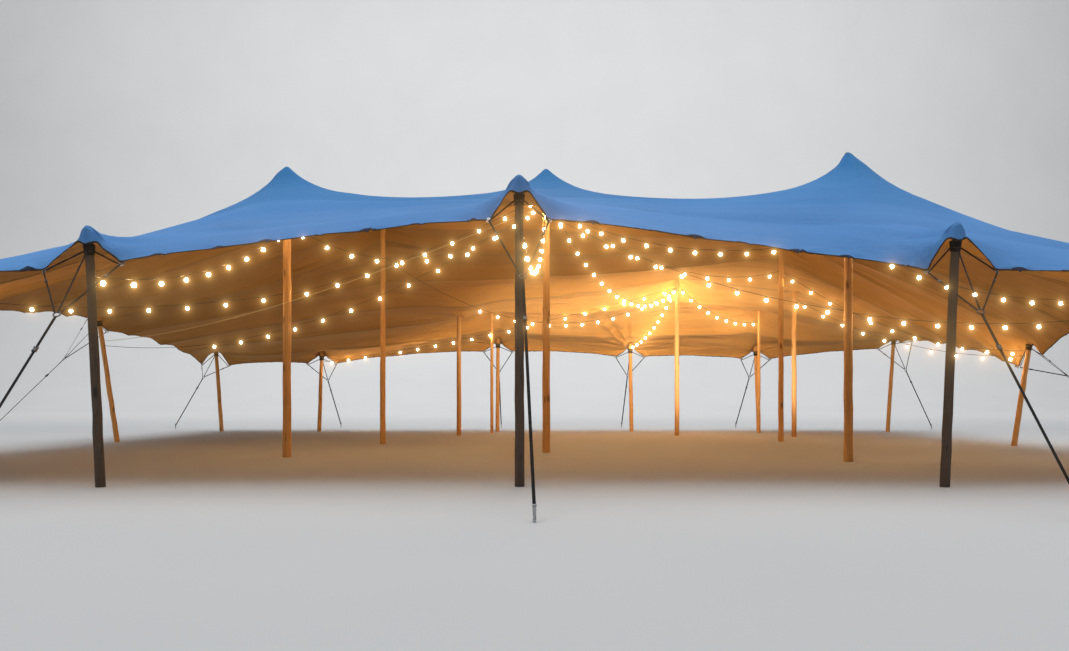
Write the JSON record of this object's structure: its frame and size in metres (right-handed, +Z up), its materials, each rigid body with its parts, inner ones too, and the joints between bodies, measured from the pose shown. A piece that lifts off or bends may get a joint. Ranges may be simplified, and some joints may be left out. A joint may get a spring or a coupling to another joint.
{
  "type": "stretch tent",
  "caption": "Open-sided stretch canopy with conical peaks and hooded edges, on timber poles, held by strap guy lines to ground stakes and hung with festoon light cables.",
  "frame": {"origin": "on the ground at the middle of the whole tent, guy lines included", "axes": "+Z up, +Y from the open front towards the back, +X to the right seen from the front"},
  "size_m": [25.112, 21.345, 5.096],
  "materials": {
    "canopy_fabric": "coated stretch knit, blue outside and warm tan inside, matt",
    "pine_pole": "peeled pine, matt",
    "weathered_pole": "weathered dark brown timber",
    "webbing": "black woven polyester webbing",
    "festoon_cable": "black rubber sheath",
    "fittings_steel": "galvanised steel rings, ratchets and stakes",
    "bulb_glass": "warm white globe bulbs, lit",
    "lead_sheath": "pale yellow cable sheath"
  },
  "bodies": {
    "root": {"canopy": "canopy_fabric", "main_left_pole": "pine_pole", "main_centre_pole": "pine_pole", "main_right_pole": "pine_pole", "inner_left_pole": "pine_pole", "inner_right_pole": "pine_pole", "rear_left_pole": "pine_pole", "rear_centre_pole": "pine_pole", "rear_right_pole": "pine_pole", "rear_left_slim_pole": "pine_pole", "rear_right_slim_pole": "pine_pole", "front_left_corner_pole": "weathered_pole", "front_left_corner_guy_line": "webbing", "front_left_pole": "weathered_pole", "front_left_guy_line": "webbing", "front_centre_pole": "weathered_pole", "front_centre_guy_line": "webbing", "front_right_pole": "weathered_pole", "front_right_guy_line": "webbing", "front_right_corner_pole": "weathered_pole", "front_right_corner_guy_line": "webbing", "right_front_pole": "pine_pole", "right_front_guy_line": "webbing", "right_middle_pole": "pine_pole", "right_middle_guy_line": "webbing", "back_right_corner_pole": "pine_pole", "back_right_corner_guy_line": "webbing", "back_right_pole": "pine_pole", "back_right_guy_line": "webbing", "back_middle_pole": "pine_pole", "back_middle_guy_line": "webbing", "back_centre_pole": "pine_pole", "back_centre_guy_line": "webbing", "back_left_pole": "pine_pole", "back_left_guy_line": "webbing", "back_left_corner_pole": "pine_pole", "back_left_corner_guy_line": "webbing", "left_middle_pole": "pine_pole", "left_middle_guy_line": "webbing", "left_front_pole": "pine_pole", "left_front_guy_line": "webbing", "festoon_front_left": "festoon_cable", "festoon_left_side": "festoon_cable", "festoon_left_upper": "festoon_cable", "festoon_left_lower": "festoon_cable", "festoon_left_middle": "festoon_cable", "festoon_front_to_main": "festoon_cable", "festoon_right_upper": "festoon_cable", "festoon_right_lower": "festoon_cable", "festoon_inner_right": "festoon_cable", "festoon_deep_swag": "festoon_cable", "festoon_rear_left": "festoon_cable", "festoon_rear_swag": "festoon_cable", "festoon_rear_drop": "festoon_cable", "festoon_rear_right": "festoon_cable", "festoon_side_inner": "festoon_cable", "festoon_side_rear": "festoon_cable", "festoon_side_upper": "festoon_cable", "festoon_side_lower": "festoon_cable", "power_lead": "lead_sheath"}
  },
  "joints": []
}
